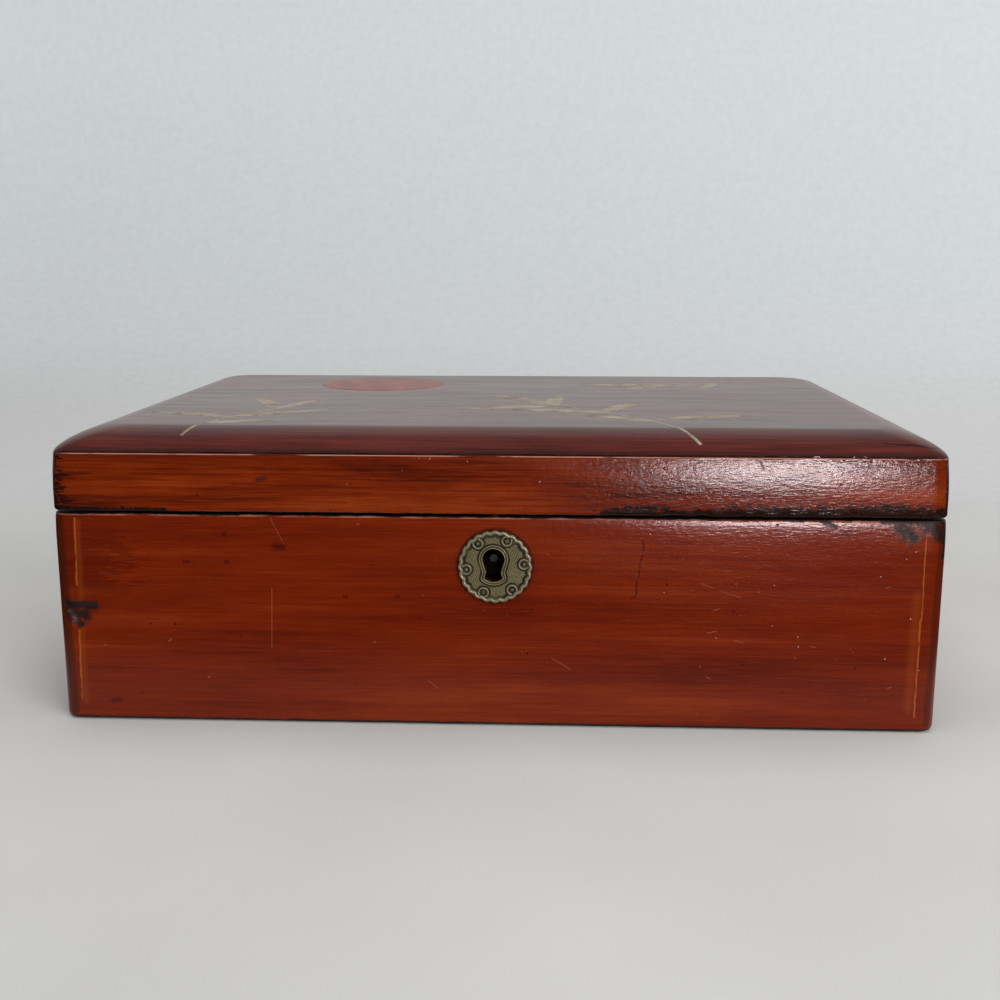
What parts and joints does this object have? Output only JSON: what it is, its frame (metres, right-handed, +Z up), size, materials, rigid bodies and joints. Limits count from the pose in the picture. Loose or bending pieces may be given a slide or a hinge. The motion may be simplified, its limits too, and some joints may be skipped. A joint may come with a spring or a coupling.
{
  "type": "lacquer box",
  "caption": "Rectangular wooden box in red-brown lacquer with a shallow crowned lid on butt hinges, a round pierced keyhole plate and a small lock let into the front.",
  "frame": {"origin": "centre of the box's footprint, on the surface it stands on", "axes": "+X to the right along the front, +Y from the front (keyhole) to the back (hinges), +Z up"},
  "size_m": [0.272, 0.1912, 0.0923],
  "materials": {
    "red_lacquer": "glossy translucent red-brown lacquer over horizontal grain, worn light along the edges",
    "lid_lacquer": "glossy dark maroon lacquer with thin gold and dull red painting",
    "bamboo": "bare split bamboo, darkened",
    "aged_brass": "greenish-brown tarnished brass, chased ground, dark in the recesses",
    "lock_brass": "dull filed brass",
    "spring_steel": "dark spring steel",
    "screw_brass": "dull brass"
  },
  "bodies": {
    "box": {"front_board": "red_lacquer", "back_board": "red_lacquer", "left_board": "red_lacquer", "right_board": "red_lacquer", "bottom_board": "red_lacquer", "bottom_peg_front_1": "bamboo", "bottom_peg_front_2": "bamboo", "bottom_peg_front_3": "bamboo", "bottom_peg_back_1": "bamboo", "bottom_peg_back_2": "bamboo", "bottom_peg_back_3": "bamboo", "bottom_peg_left_1": "bamboo", "bottom_peg_left_2": "bamboo", "bottom_peg_right_1": "bamboo", "bottom_peg_right_2": "bamboo", "keyhole_plate": "aged_brass", "keyhole_plate_pin_1": "aged_brass", "keyhole_plate_pin_2": "aged_brass", "lock_plate": "lock_brass", "lock_case": "lock_brass", "lock_guide_pin_left": "lock_brass", "lock_guide_pin_right": "lock_brass", "left_hinge_body_leaf": "lock_brass", "left_hinge_pin": "lock_brass", "right_hinge_body_leaf": "lock_brass", "right_hinge_pin": "lock_brass", "lock_spring": "spring_steel", "lock_key_pin": "spring_steel", "left_hinge_body_screw_left": "screw_brass", "left_hinge_body_screw_right": "screw_brass", "right_hinge_body_screw_left": "screw_brass", "right_hinge_body_screw_right": "screw_brass", "lock_screw_left_upper": "screw_brass", "lock_screw_left_lower": "screw_brass", "lock_screw_right_upper": "screw_brass", "lock_screw_right_lower": "screw_brass"},
    "lid": {"lid_top_board": "lid_lacquer", "lid_front_rail": "red_lacquer", "lid_back_rail": "red_lacquer", "lid_left_rail": "red_lacquer", "lid_right_rail": "red_lacquer", "left_hinge_lid_leaf": "lock_brass", "right_hinge_lid_leaf": "lock_brass", "strike_plate": "lock_brass", "strike_screw_left": "screw_brass", "strike_screw_right": "screw_brass", "left_hinge_lid_screw_left": "screw_brass", "left_hinge_lid_screw_right": "screw_brass", "right_hinge_lid_screw_left": "screw_brass", "right_hinge_lid_screw_right": "screw_brass"},
    "lock_bolt": {"lock_bolt": "lock_brass"}
  },
  "joints": [
    {"name": "lid_hinge", "type": "hinge", "parent": "box", "child": "lid", "pos_m": [0, 0.092, 0.06695], "axis": [-1, 0, 0], "range_deg": [0, 100]},
    {"name": "bolt_throw", "type": "slide", "parent": "box", "child": "lock_bolt", "axis": [-1, 0, 0], "range_m": [0, 0.004]}
  ]
}
